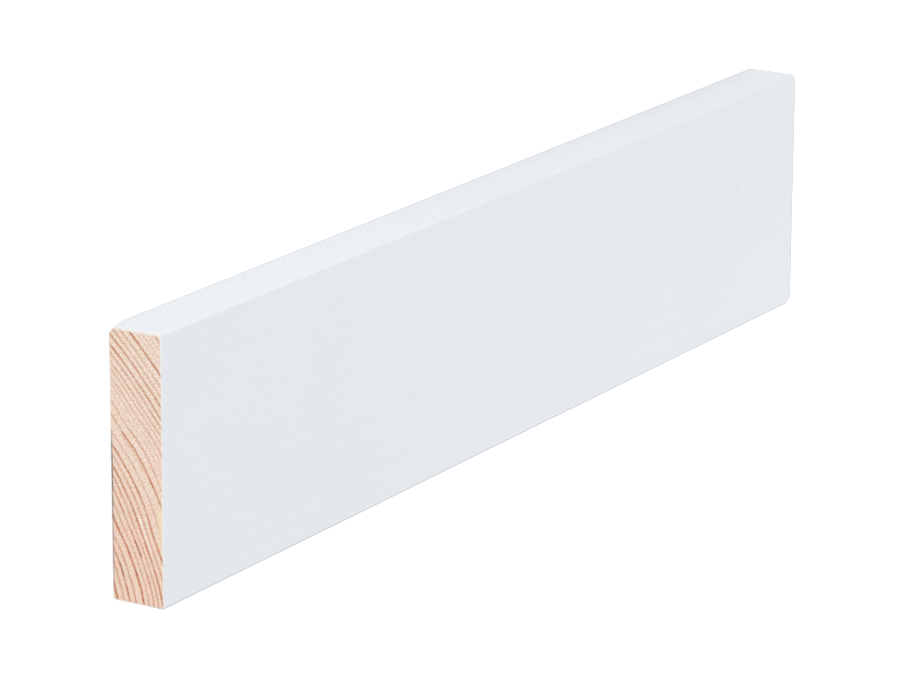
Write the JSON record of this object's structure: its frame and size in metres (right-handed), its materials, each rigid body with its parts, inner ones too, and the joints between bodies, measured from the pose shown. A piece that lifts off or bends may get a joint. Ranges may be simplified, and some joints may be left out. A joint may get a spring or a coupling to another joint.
{
  "type": "flat moulding",
  "caption": "Straight length of flat pine moulding with eased arrises, white paint on all four sides and bare square-sawn ends, for trimming round doors, windows and walls.",
  "frame": {"origin": "middle of the back face, on the surface that the moulding lies on", "axes": "+X along the length, +Y across the width, +Z out of the face"},
  "size_m": [0.32, 0.069, 0.015],
  "materials": {
    "painted_pine": "satin white paint on the four planed sides, bare sawn pine on the ends"
  },
  "bodies": {
    "root": {"flat_moulding": "painted_pine"}
  },
  "joints": []
}
